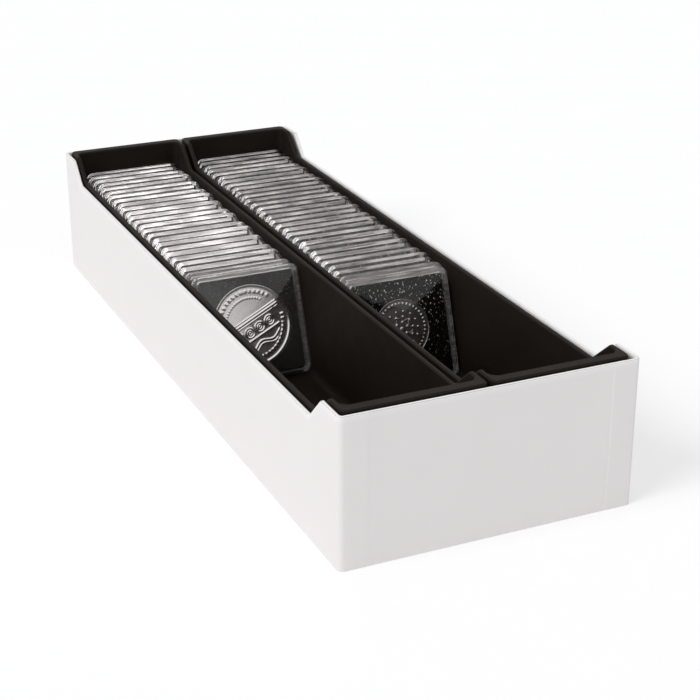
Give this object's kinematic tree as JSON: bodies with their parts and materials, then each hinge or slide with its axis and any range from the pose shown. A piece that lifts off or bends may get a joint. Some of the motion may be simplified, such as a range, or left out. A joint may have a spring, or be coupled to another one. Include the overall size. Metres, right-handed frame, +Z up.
{
  "type": "coin storage box",
  "caption": "Long open box with lowered sides, holding drafted trays of square clear coin capsules that lean in rows; trays and capsules lift out.",
  "frame": {"origin": "centre of the box's underside", "axes": "+X across the box to the right along the near end, +Y along the box to its far end, +Z up"},
  "size_m": [0.1264, 0.3544, 0.0638],
  "materials": {
    "board": "greyboard",
    "wrap": "smooth white wrap",
    "tray": "satin black",
    "clear": "clear polished",
    "foam": "pebbled black foam",
    "silver_coin": "bright struck silver",
    "dark_coin": "toned silver"
  },
  "bodies": {
    "box": {"box_board": "board", "paper_wrap": "wrap"},
    "left_tray": {"left_tray": "tray", "left_row_front_halves": "clear", "left_row_rear_halves": "clear", "left_row_inserts": "foam"},
    "right_tray": {"right_tray": "tray", "right_row_front_halves": "clear", "right_row_rear_halves": "clear", "right_row_inserts": "foam"},
    "left_capsule_1": {"left_capsule_1_front_half": "clear", "left_capsule_1_rear_half": "clear", "left_capsule_1_insert": "foam", "left_capsule_1_coin": "silver_coin"},
    "left_capsule_2": {"left_capsule_2_front_half": "clear", "left_capsule_2_rear_half": "clear", "left_capsule_2_insert": "foam", "left_capsule_2_coin": "silver_coin"},
    "right_capsule_1": {"right_capsule_1_rear_half": "clear", "right_capsule_1_insert": "foam", "right_capsule_1_coin": "dark_coin"},
    "right_capsule_2": {"right_capsule_2_front_half": "clear", "right_capsule_2_rear_half": "clear", "right_capsule_2_insert": "foam", "right_capsule_2_coin": "dark_coin"},
    "right_capsule_1_cover": {"right_capsule_1_front_half": "clear"}
  },
  "joints": [
    {"name": "left_tray_lift", "type": "slide", "parent": "box", "child": "left_tray", "axis": [0, 0, 1], "range_m": [0, 0.075]},
    {"name": "right_tray_lift", "type": "slide", "parent": "box", "child": "right_tray", "axis": [0, 0, 1], "range_m": [0, 0.075]},
    {"name": "left_capsule_1_tilt", "type": "hinge", "parent": "left_tray", "child": "left_capsule_1", "pos_m": [-0.0302, -0.01219, 0.0035], "axis": [1, 0, 0], "range_deg": [0, 20]},
    {"name": "left_capsule_2_lift", "type": "slide", "parent": "left_tray", "child": "left_capsule_2", "axis": [0, 0.342, 0.9397], "range_m": [0, 0.06]},
    {"name": "right_capsule_1_lift", "type": "slide", "parent": "right_tray", "child": "right_capsule_1", "axis": [0, 0.319, 0.9478], "range_m": [0, 0.06]},
    {"name": "right_capsule_1_open", "type": "slide", "parent": "right_capsule_1", "child": "right_capsule_1_cover", "axis": [0, -0.9478, 0.319], "range_m": [0, 0.015]},
    {"name": "right_capsule_2_lift", "type": "slide", "parent": "right_tray", "child": "right_capsule_2", "axis": [0, 0.319, 0.9478], "range_m": [0, 0.06]}
  ]
}
